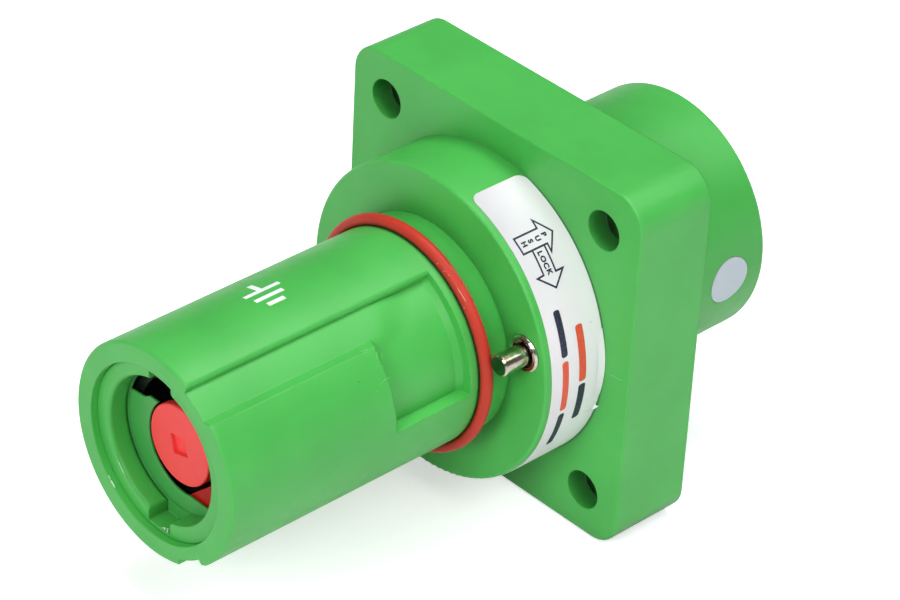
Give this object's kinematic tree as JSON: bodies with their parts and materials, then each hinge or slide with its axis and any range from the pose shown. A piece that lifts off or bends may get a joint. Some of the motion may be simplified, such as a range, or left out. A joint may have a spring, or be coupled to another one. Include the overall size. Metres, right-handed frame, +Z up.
{
  "type": "single pole power connector",
  "caption": "Green panel-mount single pole power connector: square flange, collar with a sprung locking pin, bayonet barrel round a capped contact, and a rear barrel for the cable.",
  "frame": {"origin": "middle of the flange's rear face, the one that lies on the panel, on the connector's axis", "axes": "+Y runs along the connector's axis towards the cable, so the mating end looks to -Y; +Z is up, and +X is to the right for someone who looks into the mating end, on the side of the locking pin"},
  "size_m": [0.07, 0.1185, 0.07],
  "materials": {
    "green_body": "satin gloss, moulded green",
    "red_plastic": "gloss red",
    "red_rubber": "satin red",
    "silver_plate": "silver plate on brass",
    "black_plastic": "matt black",
    "spring_steel": "bright drawn",
    "brass": "turned",
    "zinc_steel": "zinc plated",
    "pale_plastic": "satin pale grey",
    "bright_steel": "polished",
    "white_film": "satin white film"
  },
  "bodies": {
    "connector": {"flange_housing": "green_body", "front_barrel": "green_body", "keying_ring": "green_body", "guard_plate": "green_body", "coding_key": "red_plastic", "contact_tip": "red_plastic", "barrel_seal": "red_rubber", "contact_seal": "red_rubber", "contact": "silver_plate", "contact_band": "silver_plate", "contact_insulator": "black_plastic", "contact_circlip": "spring_steel", "screw_insert": "brass", "retaining_screw": "zinc_steel", "screw_cover_plug": "pale_plastic", "lock_pin_bush": "bright_steel", "lock_pin_spring": "spring_steel", "label": "white_film"},
    "lock_pin": {"lock_pin": "bright_steel"}
  },
  "joints": [
    {"name": "lock_pin_slide", "type": "slide", "parent": "connector", "child": "lock_pin", "axis": [0, 1, 0], "range_m": [0, 0.006], "stiffness_N_per_m": 400, "springref_m": -0.004, "deforming": ["lock_pin_spring"]}
  ]
}
